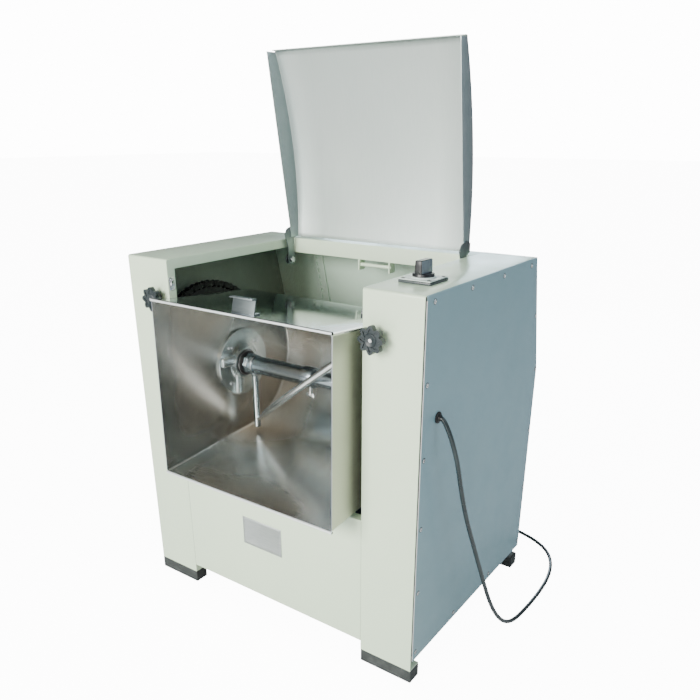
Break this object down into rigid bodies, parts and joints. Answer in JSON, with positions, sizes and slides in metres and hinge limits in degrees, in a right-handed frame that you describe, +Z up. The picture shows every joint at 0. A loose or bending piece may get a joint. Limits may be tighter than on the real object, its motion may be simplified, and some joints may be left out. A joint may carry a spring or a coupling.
{
  "type": "horizontal dough mixer",
  "caption": "Tilting-bowl dough mixer: sheet-metal cabinet with two columns, tipping steel bowl, chain-driven kneading bar, arched hinged lid, star knobs, rotary switch and mains cord.",
  "frame": {"origin": "centre of the bounding box on the plane the feet stand on, without the free cord", "axes": "+X to the user's right along the shaft, +Y to the rear, +Z up"},
  "size_m": [0.8002, 0.7377, 1.1404],
  "materials": {
    "cream_paint": "semi-gloss powder coat",
    "panel_paint": "semi-gloss powder coat",
    "frame_paint": "matt primer",
    "brushed_stainless": "brushed",
    "satin_stainless": "satin",
    "polished_steel": "polished",
    "turned_steel": "turned",
    "cast_housing": "painted casting",
    "motor_paint": "satin enamel",
    "black_steel": "oiled black",
    "foot_rubber": "matt",
    "black_rubber": "matt",
    "knob_plastic": "satin moulded",
    "switch_black": "satin moulded",
    "switch_grey": "satin moulded",
    "plate_aluminium": "brushed",
    "cord_pvc": "satin PVC"
  },
  "bodies": {
    "cabinet": {"left_column": "cream_paint", "right_column": "cream_paint", "left_side_panel": "panel_paint", "right_side_panel": "panel_paint", "side_panel_screws": "polished_steel", "front_panel": "cream_paint", "rear_panel": "cream_paint", "rear_crossbeam": "cream_paint", "rear_stiffener": "cream_paint", "name_plate": "plate_aluminium", "base_frame": "frame_paint", "front_left_foot": "foot_rubber", "front_right_foot": "foot_rubber", "rear_left_foot": "foot_rubber", "rear_right_foot": "foot_rubber", "left_bearing_plate": "frame_paint", "right_bearing_plate": "frame_paint", "shaft_bearings": "cast_housing", "jackshaft_bearings": "cast_housing", "drive_chain": "black_steel", "v_belt": "black_rubber", "motor_body": "motor_paint", "motor_mount": "frame_paint", "motor_terminal_box": "motor_paint", "hinge_lugs": "satin_stainless", "hinge_pins": "polished_steel", "bowl_catch": "cream_paint", "catch_rod": "polished_steel", "lid_catches": "satin_stainless", "knob_bushes": "turned_steel", "switch_plate": "switch_grey", "switch_body": "switch_black", "cable_gland": "black_rubber", "power_cord": "cord_pvc", "cord_coil": "cord_pvc", "cord_tail": "cord_pvc", "cord_plug": "cord_pvc"},
    "bowl": {"bowl_shell": "brushed_stainless", "bowl_hook": "brushed_stainless", "seal_flanges": "turned_steel", "flange_screws": "polished_steel", "bowl_trunnions": "turned_steel"},
    "agitator": {"agitator_shaft": "turned_steel", "shaft_seals": "black_rubber", "shaft_sleeve": "turned_steel", "left_arm": "turned_steel", "right_arm": "turned_steel", "kneading_bar": "polished_steel", "set_screw": "polished_steel", "large_sprocket": "black_steel"},
    "jackshaft": {"jackshaft": "turned_steel", "small_sprocket": "black_steel", "large_pulley": "turned_steel"},
    "motor_rotor": {"motor_shaft": "turned_steel", "small_pulley": "turned_steel"},
    "lid": {"lid_sheet": "satin_stainless", "hinge_plates": "satin_stainless"},
    "left_knob": {"left_knob": "knob_plastic"},
    "right_knob": {"right_knob": "knob_plastic"},
    "switch_handle": {"switch_handle": "switch_black"}
  },
  "joints": [
    {"name": "bowl_tilt", "type": "hinge", "parent": "cabinet", "child": "bowl", "pos_m": [0, -0.045, 0.503], "axis": [1, 0, 0], "range_deg": [-90, 0]},
    {"name": "agitator_spin", "type": "hinge", "parent": "cabinet", "child": "agitator", "pos_m": [0, -0.045, 0.503], "axis": [1, 0, 0], "continuous": true},
    {"name": "jackshaft_spin", "type": "hinge", "parent": "cabinet", "child": "jackshaft", "pos_m": [-0.25, 0.07, 0.243], "axis": [1, 0, 0], "continuous": true},
    {"name": "motor_spin", "type": "hinge", "parent": "cabinet", "child": "motor_rotor", "pos_m": [-0.25, 0.18, 0.152], "axis": [1, 0, 0], "continuous": true},
    {"name": "lid_hinge", "type": "hinge", "parent": "cabinet", "child": "lid", "pos_m": [0, 0.153, 0.704], "axis": [1, 0, 0], "range_deg": [0, 77]},
    {"name": "left_knob_turn", "type": "hinge", "parent": "cabinet", "child": "left_knob", "pos_m": [-0.263, -0.24, 0.673], "axis": [0, -1, 0], "range_deg": [0, 720]},
    {"name": "right_knob_turn", "type": "hinge", "parent": "cabinet", "child": "right_knob", "pos_m": [0.263, -0.24, 0.673], "axis": [0, -1, 0], "range_deg": [0, 720]},
    {"name": "switch_turn", "type": "hinge", "parent": "cabinet", "child": "switch_handle", "pos_m": [0.287, -0.12, 0.768], "axis": [0, 0, 1], "range_deg": [-60, 60]}
  ],
  "couplings": [
    {"joint": "jackshaft_spin", "follows": "agitator_spin", "ratio": 4.3333},
    {"joint": "motor_spin", "follows": "agitator_spin", "ratio": 12.745}
  ]
}
